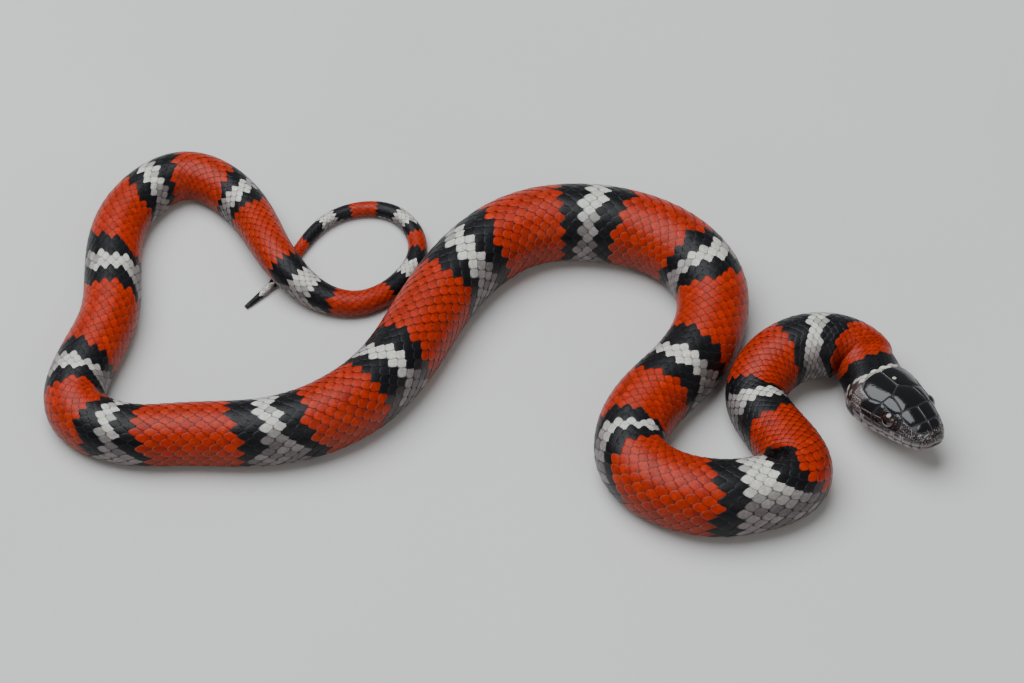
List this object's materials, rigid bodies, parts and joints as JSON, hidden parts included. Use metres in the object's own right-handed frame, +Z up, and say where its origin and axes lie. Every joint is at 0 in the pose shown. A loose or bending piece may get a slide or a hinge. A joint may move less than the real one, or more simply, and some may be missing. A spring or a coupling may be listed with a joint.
{
  "type": "milk snake model",
  "caption": "Life-size still model of a milk snake lying in open bends on its belly, with its head a little raised and its tail tip under a low arch.",
  "frame": {"origin": "on the floor plane, under the middle of the animal's box", "axes": "+X along the longest extent towards the head's end, +Y away from the side where the snout points, +Z up out of the belly"},
  "size_m": [0.1846, 0.1028, 0.0146],
  "materials": {
    "skin": "smooth scales with a satin gloss, in red, black and cream rings",
    "head_plates": "black glossy plates with pale flecks on the snout",
    "eye": "clear glossy dome over a dark pupil and a reddish brown iris"
  },
  "bodies": {
    "root": {"head": "head_plates", "lower_jaw": "head_plates", "eye_left": "eye", "eye_right": "eye", "neck": "skin", "body_01": "skin", "body_02": "skin", "body_03": "skin", "body_04": "skin", "body_05": "skin", "body_06": "skin", "body_07": "skin", "body_08": "skin", "body_09": "skin", "body_10": "skin", "body_11": "skin", "body_12": "skin", "body_13": "skin", "body_14": "skin", "body_15": "skin", "body_16": "skin", "tail_1": "skin", "tail_2": "skin", "tail_3": "skin"}
  },
  "joints": []
}
